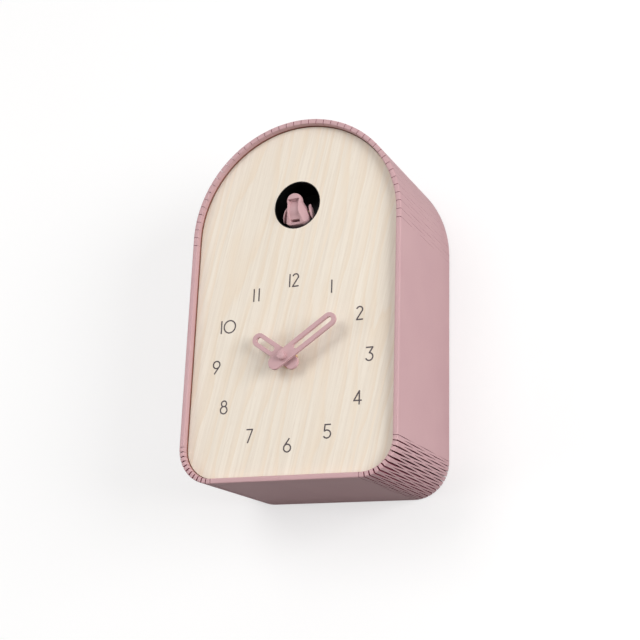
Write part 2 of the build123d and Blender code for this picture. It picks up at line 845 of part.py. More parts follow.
def plan_outline():
    """The body seen from above: a narrow flat front, flanks widening towards the wings."""
    with BuildLine() as outline:
        front = Line((-cheek_half, -cheek_front - 0.1), (cheek_half, -cheek_front - 0.1))
        right = Spline(
            front @ 1,
            (flank_half, -bird_front + flank_setback),
            (4.0, -bird_front + 26.0),
            tangents=((0.5, 1), (-0.5, 1)),
        )
        back = Line(right @ 1, (-4.0, -bird_front + 26.0))
        Spline(
            back @ 1,
            (-flank_half, -bird_front + flank_setback),
            front @ 0,
            tangents=((-0.5, -1), (0.5, -1)),
        )
    make_face(outline.edges())


with BuildPart() as bird_head:
    with Locations((0, -head_level, head_z)):
        Sphere(head_radius)
    block((-10, brow_front, bird_z - 10), (10, bird_front + 10, bird_z + 10), mode=Mode.SUBTRACT)
    block((-10, bird_front, bird_z - 10), (10, brow_front + 1, hood_z), mode=Mode.SUBTRACT)

with BuildPart() as bird_body:
    with BuildSketch(level(bird_front - 30)) as bird_front_view:
        front_silhouette()
    extrude(bird_front_view.sketch, amount=40)
    with BuildSketch(Plane.YZ.offset(-20)) as bird_side_view:
        side_silhouette()
    extrude(bird_side_view.sketch, amount=40, mode=Mode.INTERSECT)
    with BuildSketch(Plane.XY.offset(bird_foot - 1)) as bird_plan:
        plan_outline()
    extrude(bird_plan.sketch, amount=40, mode=Mode.INTERSECT)
    add(bird_head.part)
    # The breast is a strip let in under the hood, following the curve of the front.
    with BuildSketch(Plane.YZ.offset(-breast_half)) as breast_side:
        with BuildLine() as breast_line:
            strip = Spline(
                (-bird_front + 7.0, bird_foot - 1),
                (-bird_front + 0.8, bird_z - 9.0),
                (-bird_front + 0.4, hood_z),
                tangents=((-0.5, 1), (0, 1)),
            )
            Polyline(
                strip @ 1,
                (-bird_front - 5, hood_z),
                (-bird_front - 5, bird_foot - 1),
                strip @ 0,
            )
        make_face(breast_line.edges())
    extrude(breast_side.sketch, amount=2 * breast_half, mode=Mode.SUBTRACT)
    slot_low = bird_foot + 1.9
    block(
        (-4.3, bird_front - 12, slot_low),
        (4.3, bird_front + 1, slot_low + 2.0),
        mode=Mode.SUBTRACT,
    )
    socket = bar_half + 0.05
    block(
        (-socket, bar_rear, bar_z - socket),
        (socket, bar_front + 0.05, bar_z + socket),
        mode=Mode.SUBTRACT,
    )
    with BuildSketch(Plane.YZ.offset(-20)) as pin_hole:
        with Locations((-pin_level, pin_z)):
            Circle(pin_radius + 0.05)
    extrude(pin_hole.sketch, amount=40, mode=Mode.SUBTRACT)
save(bird_body, "bird_body")

with BuildPart() as wing_pin:
    with BuildSketch(Plane.YZ.offset(-pin_half)) as pin_end:
        with Locations((-pin_level, pin_z)):
            Circle(pin_radius)
    extrude(pin_end.sketch, amount=2 * pin_half)
save(wing_pin, "wing_pin")

wing_thickness = 1.5
wing_lean = 14.0
wing_half = 11.6  # centre line of the clock to the middle of a wing's inner face
wing_z = bird_z - 6.8
for side, wing_name in ((-1, "bird_wing_left"), (1, "bird_wing_right")):
    with BuildPart() as bird_wing:
        wing_plane = Plane(
            origin=(side * wing_half, -pin_level, wing_z),
            x_dir=(0, 1, 0),
            z_dir=(side * cos(radians(wing_lean)), 0, sin(radians(wing_lean))),
        )
        with BuildSketch(wing_plane) as wing_view:
            with BuildLine() as wing_line:
                ThreePointArc((-0.5, 7.6 * side), (-4.2, -0.5 * side), (-1.0, -6.8 * side))
                ThreePointArc((-1.0, -6.8 * side), (1.2, -7.3 * side), (2.8, -5.8 * side))
                ThreePointArc((2.8, -5.8 * side), (3.7, 1.5 * side), (-0.5, 7.6 * side))
            make_face(wing_line.edges())
        extrude(wing_view.sketch, amount=wing_thickness)
    save(bird_wing, wing_name)

# ---------------------------------------------------------------- bird chamber and drive
chamber_inner = 24.5
chamber_wall = 2.0
sleeve_outer = bird_hole_radius - 0.05  # lines the hole in the face panel
sleeve_inner = bird_hole_radius - 0.6
chamber_rear = 78.0
drive_module = 0.5
drive_pinion_teeth, drive_wheel_teeth = 10, 40
rack_pitch_z = bar_z - bar_half - dedendum * drive_module
gear_u = 62.0
gear_z = rack_pitch_z - drive_module * drive_pinion_teeth / 2
motor_z = gear_z - drive_module * (drive_pinion_teeth + drive_wheel_teeth) / 2
guide_gap = 0.25
tooth_drop = (dedendum + addendum) * drive_module


def guide_hole(u0, u1):
    """The square hole that the bar and its teeth slide through."""
    block(
        (-bar_half - guide_gap, u0, bar_z - bar_half - tooth_drop - guide_gap),
        (bar_half + guide_gap, u1, bar_z + bar_half + guide_gap),
        mode=Mode.SUBTRACT,
    )


def across(x0, x1, *circles, mode=Mode.ADD):
    """Round bars along X from x0 to x1, each given as (radius, u, z)."""
    with BuildSketch(Plane.YZ.offset(x0)) as ends:
        for radius, u, z in circles:
            with Locations((-u, z)):
                Circle(radius)
    extrude(ends.sketch, amount=x1 - x0, mode=mode)


with BuildPart() as bird_chamber:
    turned(
        [
            (0, chamber_rear),
            (chamber_inner + chamber_wall, chamber_rear),
            (chamber_inner + chamber_wall, face_back),
            (sleeve_outer, face_back),
            (sleeve_outer, face_front - 0.1),
            (sleeve_inner, face_front - 0.1),
            (sleeve_inner, face_back - 1.5),
            (chamber_inner, face_back - 1.5),
            (chamber_inner, chamber_rear + chamber_wall),
            (0, chamber_rear + chamber_wall),
        ],
        (0, bird_z),
    )
    guide_hole(chamber_rear - 1, chamber_rear + chamber_wall + 1)
    drive_screw_radius = 1.25
    drive_screw_spots = [(-13.0, bar_z), (13.0, bar_z)]
    for spot in drive_screw_spots:
        turned(disc(drive_screw_radius + 0.05, chamber_rear - 1, chamber_rear + 3), spot,
               mode=Mode.SUBTRACT)
save(bird_chamber, "bird_chamber")

rack_pitch = pi * drive_module
with BuildPart() as bird_rack:
    block((-bar_half, bar_rear, bar_z - bar_half), (bar_half, bar_front, bar_z + bar_half))
    with BuildSketch(Plane.YZ.offset(-bar_half)) as rack_teeth:
        for tooth in range(-3, 19):
            tooth_y = -gear_u + (tooth + 0.5) * rack_pitch
            root_half, tip_half = tooth_root * rack_pitch, tooth_tip * rack_pitch
            Polygon(
                (tooth_y - root_half, bar_z - bar_half + 0.2),
                (tooth_y - root_half, bar_z - bar_half),
                (tooth_y - tip_half, rack_pitch_z - addendum * drive_module),
                (tooth_y + tip_half, rack_pitch_z - addendum * drive_module),
                (tooth_y + root_half, bar_z - bar_half),
                (tooth_y + root_half, bar_z - bar_half + 0.2),
                align=None,
            )
    extrude(rack_teeth.sketch, amount=2 * bar_half)
save(bird_rack, "bird_rack")

plate_inner, plate_outer = 7.0, 9.0
frame_rear = 45.0
frame_low = motor_z - 9.0
frame_high = bar_z + bar_half + 2.0
wall_low = bar_z - bar_half - 3.0
axle_radius = 1.0
motor_shaft_radius = 1.0
with BuildPart() as drive_frame:
    for side in (-1, 1):
        low_x, high_x = sorted((side * plate_inner, side * plate_outer))
        block((low_x, frame_rear, frame_low), (high_x, chamber_rear, frame_high))
    block((-plate_outer, frame_rear, wall_low), (plate_outer, frame_rear + 3, frame_high))
    block((-17, chamber_rear - 2, wall_low), (17, chamber_rear, frame_high))
    guide_hole(frame_rear - 1, frame_rear + 4)
    guide_hole(chamber_rear - 3, chamber_rear + 1)
    across(-10, 10, (axle_radius + pivot_clearance, gear_u, gear_z), mode=Mode.SUBTRACT)
    across(-10, -6, (2.0, gear_u, motor_z), mode=Mode.SUBTRACT)
    for spot in drive_screw_spots:
        turned(disc(drive_screw_radius + 0.05, chamber_rear - 3, chamber_rear + 1), spot,
               mode=Mode.SUBTRACT)
save(drive_frame, "drive_frame")

with BuildPart() as drive_screws:
    for spot in drive_screw_spots:
        turned(
            [
                (0, chamber_rear - 3.8),
                (2.3, chamber_rear - 3.8),
                (2.3, chamber_rear - 2),
                (drive_screw_radius, chamber_rear - 2),
                (drive_screw_radius, chamber_rear + 1.9),
                (0, chamber_rear + 1.9),
            ],
            spot,
        )
save(drive_screws, "drive_screws")


def side_gear(teeth, tooth_at, u, z, x0, x1):
    """A gear on an axle along X, one tooth pointing at tooth_at degrees in the (Y, Z) plane."""
    with BuildSketch(Plane.YZ.offset(x0)) as outline:
        gear_outline(teeth, drive_module, (-u, z), tooth_at)
    extrude(outline.sketch, amount=x1 - x0)


wheel_x = (-6.0, -4.4)
with BuildPart() as drive_gear:
    side_gear(drive_wheel_teeth, 270 + 180 / drive_wheel_teeth, gear_u, gear_z, *wheel_x)
    side_gear(drive_pinion_teeth, 90, gear_u, gear_z, wheel_x[1], bar_half)
    across(-plate_outer + 0.2, plate_outer - 0.2, (axle_radius, gear_u, gear_z))
save(drive_gear, "drive_gear")

motor_length = 25.0
motor_radius = 10.0
motor_flat = 15.0
with BuildPart() as bird_motor:
    with BuildSketch(Plane.YZ.offset(-plate_outer - motor_length)):
        with Locations((-gear_u, motor_z)):
            Circle(motor_radius)
            Rectangle(2 * motor_radius, motor_flat, mode=Mode.INTERSECT)
    extrude(amount=motor_length)
    across(-plate_outer - 6, 0, (motor_shaft_radius + pivot_clearance, gear_u, motor_z),
           mode=Mode.SUBTRACT)
save(bird_motor, "bird_motor")

end_cap_thickness = 2.2
with BuildPart() as motor_end_cap:
    across(
        -plate_outer - motor_length - end_cap_thickness,
        -plate_outer - motor_length,
        (7.2, gear_u, motor_z),
    )
save(motor_end_cap, "motor_end_cap")

with BuildPart() as motor_pinion:
    side_gear(drive_pinion_teeth, 90, gear_u, motor_z, *wheel_x)
    across(-plate_outer - 5.5, wheel_x[1] + 0.6, (motor_shaft_radius, gear_u, motor_z))
save(motor_pinion, "motor_pinion")

# ---------------------------------------------------------------- sound unit
sound_board_level = (12.0, 13.6)
post_x = 31.0
with BuildPart() as sound_board:
    block((-36, sound_board_level[0], control_z - 13), (36, sound_board_level[1], control_z + 13))
    chips = ((-20, -4, 9, 6, 1.6), (2, 3, 7, 7, 1.4), (14, -7, 6, 4, 5.0), (-4, 8, 5, 4, 4.0))
    for chip_x, chip_z, chip_width, chip_height, chip_rise in chips:
        block(
            (chip_x - chip_width / 2, sound_board_level[1], control_z + chip_z - chip_height / 2),
            (
                chip_x + chip_width / 2,
                sound_board_level[1] + chip_rise,
                control_z + chip_z + chip_height / 2,
            ),
        )
save(sound_board, "sound_board")

with BuildPart() as board_posts:
    for side in (-1, 1):
        turned(disc(3.0, panel, sound_board_level[0]), (side * post_x, control_z))
save(board_posts, "board_posts")

switch_x = -10.0
switch_travel = 3.6
slider_half = 1.7
slider_level = (0.8, 8.6)
with BuildPart() as switch_body:
    block((switch_x - 6, 5, control_z - 4), (switch_x + 6, sound_board_level[0], control_z + 4))
    block(
        (switch_x - 4.2, 4, control_z - slider_half - 0.2),
        (switch_x + 4.2, slider_level[1] + 0.3, control_z + slider_half + 0.2),
        mode=Mode.SUBTRACT,
    )
save(switch_body, "switch_body")

with BuildPart() as switch_slider:
    slider_x = switch_x - switch_travel / 2
    block(
        (slider_x - slider_half, slider_level[0], control_z - slider_half),
        (slider_x + slider_half, slider_level[1], control_z + slider_half),
    )
    ridge_edges = switch_slider.faces().sort_by(Axis.Y)[-1].edges()
    chamfer(ridge_edges, length=0.4)
save(switch_slider, "switch_slider")

volume_at = (10.0, control_z)
volume_shaft_radius = 1.5
with BuildPart() as volume_pot:
    turned(disc(6.2, 6.5, sound_board_level[0]), volume_at)
    turned(disc(volume_shaft_radius + pivot_clearance, 6, 10), volume_at, mode=Mode.SUBTRACT)
save(volume_pot, "volume_pot")

with BuildPart() as volume_knob:
    turned(disc(4.8, 0.8, 6.0), volume_at)
    turned(disc(volume_shaft_radius, 6.0, 9.6), volume_at)
    with BuildSketch(level(0.8)):
        with Locations(volume_at):
            with PolarLocations(4.8, 16):
                Circle(0.4)
    extrude(amount=5.2, mode=Mode.SUBTRACT)
    block((volume_at[0] - 0.5, 0, control_z), (volume_at[0] + 0.5, 1.4, control_z + 4.2),
          mode=Mode.SUBTRACT)
save(volume_knob, "volume_knob")

speaker_at = (0.0, speaker_z)
with BuildPart() as speaker_basket:
    turned(
        [
            (22.0, panel),
            (25.5, panel),
            (25.5, panel + 2.0),
            (23.4, panel + 2.0),
            (13.7, 14.0),
            (5.0, 14.0),
            (5.0, 13.0),
            (13.0, 13.0),
            (22.0, panel + 1.8),
        ],
        speaker_at,
    )
save(speaker_basket, "speaker_basket")

with BuildPart() as speaker_cone:
    turned(
        [(21.8, 4.6), (21.8, 5.2), (7.0, 11.0), (0, 11.0), (0, 10.4), (6.6, 10.4), (20.4, 5.0),
         (20.4, 4.6)],
        speaker_at,
    )
save(speaker_cone, "speaker_cone")

with BuildPart() as speaker_magnet:
    turned(disc(12.0, 14.0, 20.0), speaker_at)
save(speaker_magnet, "speaker_magnet")

# ---------------------------------------------------------------- battery tray of the sound unit
floor_z = base + board
tray_half = 31.0
tray_level = (24.0, 76.0)
tray_wall = 1.2
tray_height = 13.0
cell_count = 3
cell_pitch = 16.0
cell_levels = [50.0 + (k - 1) * cell_pitch for k in range(cell_count)]
cell_z = floor_z + tray_wall + battery_radius + 0.2
with BuildPart() as battery_tray:
    block((-tray_half, tray_level[0], floor_z), (tray_half, tray_level[1], floor_z + tray_height))
    block(
        (-tray_half + tray_wall, tray_level[0] + tray_wall, floor_z + tray_wall),
        (tray_half - tray_wall, tray_level[1] - tray_wall, floor_z + tray_height + 1),
        mode=Mode.SUBTRACT,
    )
    for between in range(cell_count - 1):
        rib = (cell_levels[between] + cell_levels[between + 1]) / 2
        block(
            (-tray_half + tray_wall, rib - 0.4, floor_z + tray_wall),
            (tray_half - tray_wall, rib + 0.4, floor_z + 6.0),
        )
save(battery_tray, "battery_tray")

nub = 1.2
with BuildPart() as sound_batteries:
    for number, cell_level in enumerate(cell_levels):
        way = 1 if number % 2 == 0 else -1
        can_x = -battery_length / 2 if way > 0 else -battery_length / 2 + nub
        nub_x = battery_length / 2 - nub if way > 0 else -battery_length / 2
        across(can_x, can_x + battery_length - nub, (battery_radius, cell_level, cell_z))
        across(nub_x, nub_x + nub, (2.6, cell_level, cell_z))
save(sound_batteries, "sound_batteries")

with BuildPart() as tray_contacts:
    for side in (-1, 1):
        for cell_level in cell_levels:
            wall_x = side * (tray_half - tray_wall)
            plate_x = wall_x - side * contact_thickness
            low_x, high_x = sorted((wall_x, plate_x))
            block((low_x, cell_level - 5, cell_z - 4), (high_x, cell_level + 5, cell_z + 4))
            low_x, high_x = sorted((plate_x, side * battery_length / 2))
            across(low_x, high_x, (3.2, cell_level, cell_z))
            across(low_x, high_x, (2.4, cell_level, cell_z), mode=Mode.SUBTRACT)
save(tray_contacts, "tray_contacts")

# ---------------------------------------------------------------- leads
lead_radius = 0.8


def lead(points):
    """A lead through points (x, u, z), its bends as round as the runs beside them allow."""
    route = [Vector(x, -u, z) for x, u, z in points]
    radii = []
    for before, corner, after in zip(route, route[1:], route[2:]):
        into, out = corner - before, after - corner
        half_turn = radians(into.get_angle(out)) / 2
        radii.append(0.45 * min(into.length, out.length) / tan(half_turn))
    with BuildLine() as middle_line:
        FilletPolyline(*route, radius=radii)
    path = middle_line.line
    with BuildSketch(Plane(origin=path @ 0, z_dir=path % 0)) as section:
        Circle(lead_radius)
    sweep(section.sketch, path=path)


board_face = sound_board_level[1]
with BuildPart() as battery_lead:
    lead([
        (tray_half, 40, floor_z + 8),
        (tray_half + 10, 39, floor_z + 10),
        (tray_half + 15, 33, floor_z + 28),
        (tray_half + 16, 27, floor_z + 58),
        (tray_half + 13, 24, floor_z + 92),
        (tray_half + 5, 23, control_z - 14),
        (28.5, 21, control_z - 8),
        (28, board_face, control_z - 7),
    ])
save(battery_lead, "battery_lead")

with BuildPart() as motor_lead:
    motor_end = -plate_outer - motor_length - end_cap_thickness
    lead([
        (motor_end, gear_u, motor_z),
        (motor_end - 7, gear_u - 1, motor_z - 2),
        (motor_end - 10, gear_u - 10, motor_z - 18),
        (motor_end - 8, gear_u - 24, motor_z - 38),
        (motor_end + 1, 27, control_z + 18),
        (-30, 20.5, control_z + 6),
        (-29.5, board_face, control_z + 4),
    ])
save(motor_lead, "motor_lead")

with BuildPart() as speaker_lead:
    lead([
        (8, 20, speaker_z - 7),
        (9, 25, speaker_z - 9),
        (15, 26, speaker_z - 18),
        (19, 21, speaker_z - 27),
        (20, board_face, control_z + 10),
    ])
save(speaker_lead, "speaker_lead")

with BuildPart() as movement_lead:
    lead([
        (12, face_back - 8, movement_top),
        (12.5, face_back - 10, movement_top + 8),
        (16, face_back - 24, movement_top + 18),
        (21, face_back - 46, movement_top + 21),
        (25, face_back - 68, movement_top + 19),
        (27, 28, control_z + 5),
        (26, board_face, control_z + 1),
    ])
save(movement_lead, "movement_lead")
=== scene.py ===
"""The looks of the wall cuckoo clock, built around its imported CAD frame.

Metres, +Z up, the dial faces -Y and the wall is y = 0, as in the frame. Lengths below are given in
millimetres and multiplied by MM.
"""
import json
from math import cos, pi, radians, sin

import bmesh
import bpy
from mathutils import Matrix, Vector


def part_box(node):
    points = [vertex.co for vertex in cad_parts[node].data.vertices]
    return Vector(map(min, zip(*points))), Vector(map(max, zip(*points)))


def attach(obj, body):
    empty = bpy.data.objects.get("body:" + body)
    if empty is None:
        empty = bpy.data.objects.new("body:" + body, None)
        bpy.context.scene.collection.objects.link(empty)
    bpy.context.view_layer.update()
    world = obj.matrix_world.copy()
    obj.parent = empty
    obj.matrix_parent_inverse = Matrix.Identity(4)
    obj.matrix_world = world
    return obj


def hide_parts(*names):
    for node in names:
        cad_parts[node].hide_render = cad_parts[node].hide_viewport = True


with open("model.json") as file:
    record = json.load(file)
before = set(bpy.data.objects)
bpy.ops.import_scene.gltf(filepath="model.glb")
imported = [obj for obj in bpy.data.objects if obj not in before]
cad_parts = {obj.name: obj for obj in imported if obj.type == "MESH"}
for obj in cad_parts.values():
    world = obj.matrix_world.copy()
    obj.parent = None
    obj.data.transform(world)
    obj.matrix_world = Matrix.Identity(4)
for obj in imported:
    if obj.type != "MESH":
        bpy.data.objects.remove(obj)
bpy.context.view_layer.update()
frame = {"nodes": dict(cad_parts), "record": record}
MM = 0.001

# ---------------------------------------------------------------- measures taken from the frame
wrap_low, wrap_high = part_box("case_wrap")
half_width = (wrap_high[0] - wrap_low[0]) / 2
base_z = wrap_low[2]
front_y = wrap_low[1]
depth = wrap_high[1] - wrap_low[1]
spring_z = wrap_high[2] - half_width


# ---------------------------------------------------------------- material helpers
def srgb(red, green, blue):
    """A colour given in 8-bit sRGB, as linear RGBA."""
    linear = [((c / 255 + 0.055) / 1.055) ** 2.4 if c > 10 else c / 3295 for c in (red, green, blue)]
    return (*linear, 1.0)


def grey(value):
    return (value, value, value, 1.0)


class Shader:
    """A small builder of node materials, with textures in the object's own metres."""

    def __init__(self, name, roughness=0.5, specular=0.5, metallic=0.0):
        self.material = bpy.data.materials.new(name)
        self.material.use_nodes = True
        self.nodes = self.material.node_tree.nodes
        self.links = self.material.node_tree.links
        self.surface = self.nodes["Principled BSDF"]
        self.surface.inputs["Roughness"].default_value = roughness
        self.surface.inputs["Specular IOR Level"].default_value = specular
        self.surface.inputs["Metallic"].default_value = metallic
        self.coordinates = self.nodes.new("ShaderNodeTexCoord")

    def stretched(self, scale, rotation=(0, 0, 0)):
        """Object coordinates, turned and then scaled along X, Y and Z."""
        turn = self.nodes.new("ShaderNodeMapping")
        turn.inputs["Rotation"].default_value = rotation
        self.links.new(self.coordinates.outputs["Object"], turn.inputs["Vector"])
        mapping = self.nodes.new("ShaderNodeMapping")
        mapping.inputs["Scale"].default_value = scale
        self.links.new(turn.outputs["Vector"], mapping.inputs["Vector"])
        return mapping.outputs["Vector"]

    def noise(self, vector, scale, detail=3.0, roughness=0.5, distortion=0.0):
        texture = self.nodes.new("ShaderNodeTexNoise")
        texture.inputs["Scale"].default_value = scale
        texture.inputs["Detail"].default_value = detail
        texture.inputs["Roughness"].default_value = roughness
        texture.inputs["Distortion"].default_value = distortion
        self.links.new(vector, texture.inputs["Vector"])
        return texture.outputs["Fac"]

    def wave(self, vector, scale, distortion=0.0, detail=2.0, detail_scale=1.0, profile="SIN"):
        texture = self.nodes.new("ShaderNodeTexWave")
        texture.wave_profile = profile
        texture.inputs["Scale"].default_value = scale
        texture.inputs["Distortion"].default_value = distortion
        texture.inputs["Detail"].default_value = detail
        texture.inputs["Detail Scale"].default_value = detail_scale
        self.links.new(vector, texture.inputs["Vector"])
        return texture.outputs["Fac"]

    def ramp(self, value, *stops):
        """A colour ramp over (position, colour) stops."""
        ramp = self.nodes.new("ShaderNodeValToRGB")
        while len(ramp.color_ramp.elements) < len(stops):
            ramp.color_ramp.elements.new(0.5)
        for element, (position, colour) in zip(ramp.color_ramp.elements, stops):
            element.position = position
            element.color = colour
        self.links.new(value, ramp.inputs["Fac"])
        return ramp.outputs["Color"]

    def mix(self, factor, first, second):
        """Mix two colours, each a socket or an RGBA value, by a socket or a number."""
        node = self.nodes.new("ShaderNodeMix")
        node.data_type = "RGBA"
        inputs = (node.inputs[0], node.inputs[6], node.inputs[7])
        for socket, value in zip(inputs, (factor, first, second)):
            if isinstance(value, bpy.types.NodeSocket):
                self.links.new(value, socket)
            else:
                socket.default_value = value
        return node.outputs[2]

    def colour(self, socket):
        self.links.new(socket, self.surface.inputs["Base Color"])

    def roughness(self, value, low, high):
        """Roughness that follows a texture between two values."""
        spread = self.nodes.new("ShaderNodeMapRange")
        spread.inputs["To Min"].default_value = low
        spread.inputs["To Max"].default_value = high
        self.links.new(value, spread.inputs["Value"])
        self.links.new(spread.outputs["Result"], self.surface.inputs["Roughness"])

    def bump(self, height, strength, distance):
        node = self.nodes.new("ShaderNodeBump")
        node.inputs["Strength"].default_value = strength
        node.inputs["Distance"].default_value = distance
        self.links.new(height, node.inputs["Height"])
        self.links.new(node.outputs["Normal"], self.surface.inputs["Normal"])


def painted(name, colour, shade):
    """Satin paint over plywood: a faint cloudiness, and the grain just showing as relief."""
    paint = Shader(name, roughness=0.5, specular=0.35)
    cloud = paint.noise(paint.stretched((1, 1, 1)), 28, detail=4)
    paint.colour(paint.ramp(cloud, (0.3, shade), (0.7, colour)))
    grain = paint.noise(paint.stretched((240, 240, 2600)), 1.0, detail=3)
    paint.roughness(cloud, 0.44, 0.54)
    paint.bump(grain, 0.10, 0.2 * MM)
    return paint.material


RING_SPACING = 13 * MM  # of the growth lines in the veneer
GRAIN_LEAN = radians(-12)


def birch(name, light, dark, line, fleck):
    """Birch veneer: leaning growth lines with one sharp side, fine streaks and short flecks."""
    wood = Shader(name, roughness=0.6, specular=0.25)
    lean = (0, GRAIN_LEAN, 0)
    rings = wood.wave(
        wood.stretched((1, 1, 0.17), rotation=lean),
        2 * pi / (20 * RING_SPACING),
        distortion=17,
        detail=3,
        detail_scale=0.9,
        profile="SAW",
    )
    broad = wood.noise(wood.stretched((34, 34, 5), rotation=lean), 1.0, detail=3, distortion=0.8)
    fine = wood.noise(wood.stretched((520, 520, 11), rotation=lean), 1.0, detail=4, roughness=0.6)
    body = wood.ramp(fine, (0.30, dark), (0.62, light))
    body = wood.mix(wood.ramp(broad, (0.35, grey(0.0)), (0.75, grey(0.45))), body, dark)
    body = wood.mix(
        wood.ramp(rings, (0.40, grey(0.0)), (0.90, grey(0.42)), (0.98, grey(0.05))), body, line
    )
    flecks = wood.noise(wood.stretched((1500, 1500, 110), rotation=lean), 1.0, detail=2)
    body = wood.mix(wood.ramp(flecks, (0.60, grey(0.0)), (0.78, grey(0.4))), body, fleck)
    wood.colour(body)
    wood.roughness(broad, 0.52, 0.68)
    wood.bump(fine, 0.10, 0.12 * MM)
    return wood.material


def moulded(name, colour, roughness):
    """Moulded plastic: a fine spark-eroded texture and a slight unevenness of sheen."""
    plastic = Shader(name, roughness=roughness, specular=0.45)
    grain = plastic.noise(plastic.stretched((1, 1, 1)), 2600, detail=2)
    cloud = plastic.noise(plastic.stretched((1, 1, 1)), 60, detail=3)
    lighter = tuple(min(1.0, c * 1.25 + 0.004) for c in colour[:3]) + (1.0,)
    plastic.colour(plastic.ramp(cloud, (0.35, colour), (0.75, lighter)))
    plastic.roughness(cloud, roughness - 0.06, roughness + 0.06)
    plastic.bump(grain, 0.15, 0.05 * MM)
    return plastic.material


def metal(name, colour, roughness, direction=(40, 40, 3000)):
    """Turned or rolled metal, with fine marks along one direction."""
    surface = Shader(name, roughness=roughness, metallic=1.0)
    marks = surface.noise(surface.stretched(direction), 1.0, detail=3)
    darker = tuple(c * 0.82 for c in colour[:3]) + (1.0,)
    surface.colour(surface.ramp(marks, (0.3, darker), (0.7, colour)))
    surface.roughness(marks, roughness - 0.07, roughness + 0.1)
    surface.bump(marks, 0.08, 0.05 * MM)
    return surface.material


pink_paint = painted("pink_paint", srgb(198, 161, 164), srgb(194, 156, 160))
# The slot walls: darker and redder than the pink, partly the cut board's own colour and partly painted
# shade deep inside the narrow slots.
kerf_wall_and_shade = painted("kerf_wall_and_shade", srgb(158, 78, 95), srgb(132, 62, 79))
face_birch = birch(
    "face_birch", srgb(236, 227, 213), srgb(225, 214, 199), srgb(228, 208, 182), srgb(208, 190, 169)
)
bare_ply = birch(
    "bare_ply", srgb(222, 200, 168), srgb(206, 180, 144), srgb(188, 152, 112), srgb(150, 118, 84)
)
# Painted shade: the board's inner faces get a dark warm brown, far darker than bare board, so the recess
# behind the front rim reads as shaded and lit by warm bounce.
board_inside_shade = birch(
    "board_inside_shade", srgb(150, 100, 84), srgb(138, 90, 75), srgb(124, 78, 66), srgb(110, 70, 60)
)
# A black far darker than the black plastic, for the chamber behind the bird's hole: its own black paint
# and painted shade deep in the case.
chamber_black_and_shade = painted("chamber_black_and_shade", srgb(6, 5, 6), srgb(4, 4, 4))
SLOT_MATERIALS = {
    "pink_paint": pink_paint,
    "birch_ply": face_birch,
    "plain_ply": bare_ply,
    "dowel": bare_ply,
    "printed_ink": moulded("printed_ink", srgb(74, 65, 68), 0.6),
    "black_plastic": moulded("black_plastic", srgb(14, 14, 15), 0.5),
    "grey_plastic": moulded("grey_plastic", srgb(60, 60, 62), 0.45),
    "white_plastic": moulded("white_plastic", srgb(226, 226, 220), 0.4),
    "brass_parts": metal("brass_parts", srgb(214, 178, 106), 0.28),
    "steel": metal("steel", srgb(176, 176, 180), 0.32),
    "magnet": metal("magnet", srgb(84, 84, 90), 0.4),
    "copper_wire": metal("copper_wire", srgb(196, 108, 62), 0.3, direction=(9000, 40, 40)),
    "circuit_board": moulded("circuit_board", srgb(28, 104, 56), 0.35),
    "battery_jacket": moulded("battery_jacket", srgb(44, 48, 56), 0.3),
    "speaker_paper": moulded("speaker_paper", srgb(30, 29, 28), 0.85),
    "red_lead": moulded("red_lead", srgb(150, 22, 18), 0.45),
    "black_lead": moulded("black_lead", srgb(22, 22, 22), 0.45),
}


# ---------------------------------------------------------------- mesh helpers
SHARP_ANGLE = radians(35)


def mesh_object(name, points, faces, materials, face_materials=None):
    """A smooth-shaded mesh object with sharp edges where its faces turn by more than SHARP_ANGLE."""
    mesh = bpy.data.meshes.new(name)
    mesh.from_pydata(points, [], faces)
    for material in materials:
        mesh.materials.append(material)
    if face_materials:
        mesh.polygons.foreach_set("material_index", face_materials)
    mesh.shade_smooth()
    mesh.set_sharp_from_angle(angle=SHARP_ANGLE)
    mesh.update()
    obj = bpy.data.objects.new(name, mesh)
    bpy.context.scene.collection.objects.link(obj)
    return obj


def baked(obj):
    """The object with its modifiers or its curve turned into a plain mesh."""
    graph = bpy.context.evaluated_depsgraph_get()
    mesh = bpy.data.meshes.new_from_object(obj.evaluated_get(graph))
    name = obj.name
    matrix = obj.matrix_world.copy()
    bpy.data.objects.remove(obj)
    result = bpy.data.objects.new(name, mesh)
    mesh.transform(matrix)
    bpy.context.scene.collection.objects.link(result)
    return result


# ---------------------------------------------------------------- the bent board
BOARD = 4.5 * MM
CORNER = 32 * MM  # outside radius of the lower corners
SEAM_X = -3 * MM  # butt joint in the underside
SEAM_GAP = 0.16 * MM
FRONT_EASE = 1.0 * MM
BACK_EASE = 0.5 * MM
SLOT_LENGTH = 48 * MM
SLOT_PITCH = 53 * MM
FIRST_SLOT = 12 * MM  # middle of the slots that open at the front rim
MOUTH_LENGTH = 5 * MM  # the slots widen this close to the front rim
ARCH_ROWS = 87
ARCH_OVERRUN = 6.1 * MM  # the arch's rows begin this far below its springing
ARCH_LEAST = 0.85  # share that the arch's first and last rows open of the middle one
CORNER_ROWS = 23
CORNER_OVERRUN = 0.5 * MM
CORNER_LEAST = 0.35
ARCH_WIDTHS = (0.22 * MM, 0.03 * MM, 0.5 * MM)  # slots outside, inside and at the front rim
CORNER_WIDTHS = (1.6 * MM, 0.15 * MM, 1.2 * MM)
REAR_CLOSING = 0.4  # share by which the slots are narrower at the wall
PAINTED_SHADE_DEPTH = 1.3 * MM  # inner faces this close behind the front rim keep the pink; deeper ones carry the painted shade of the recess


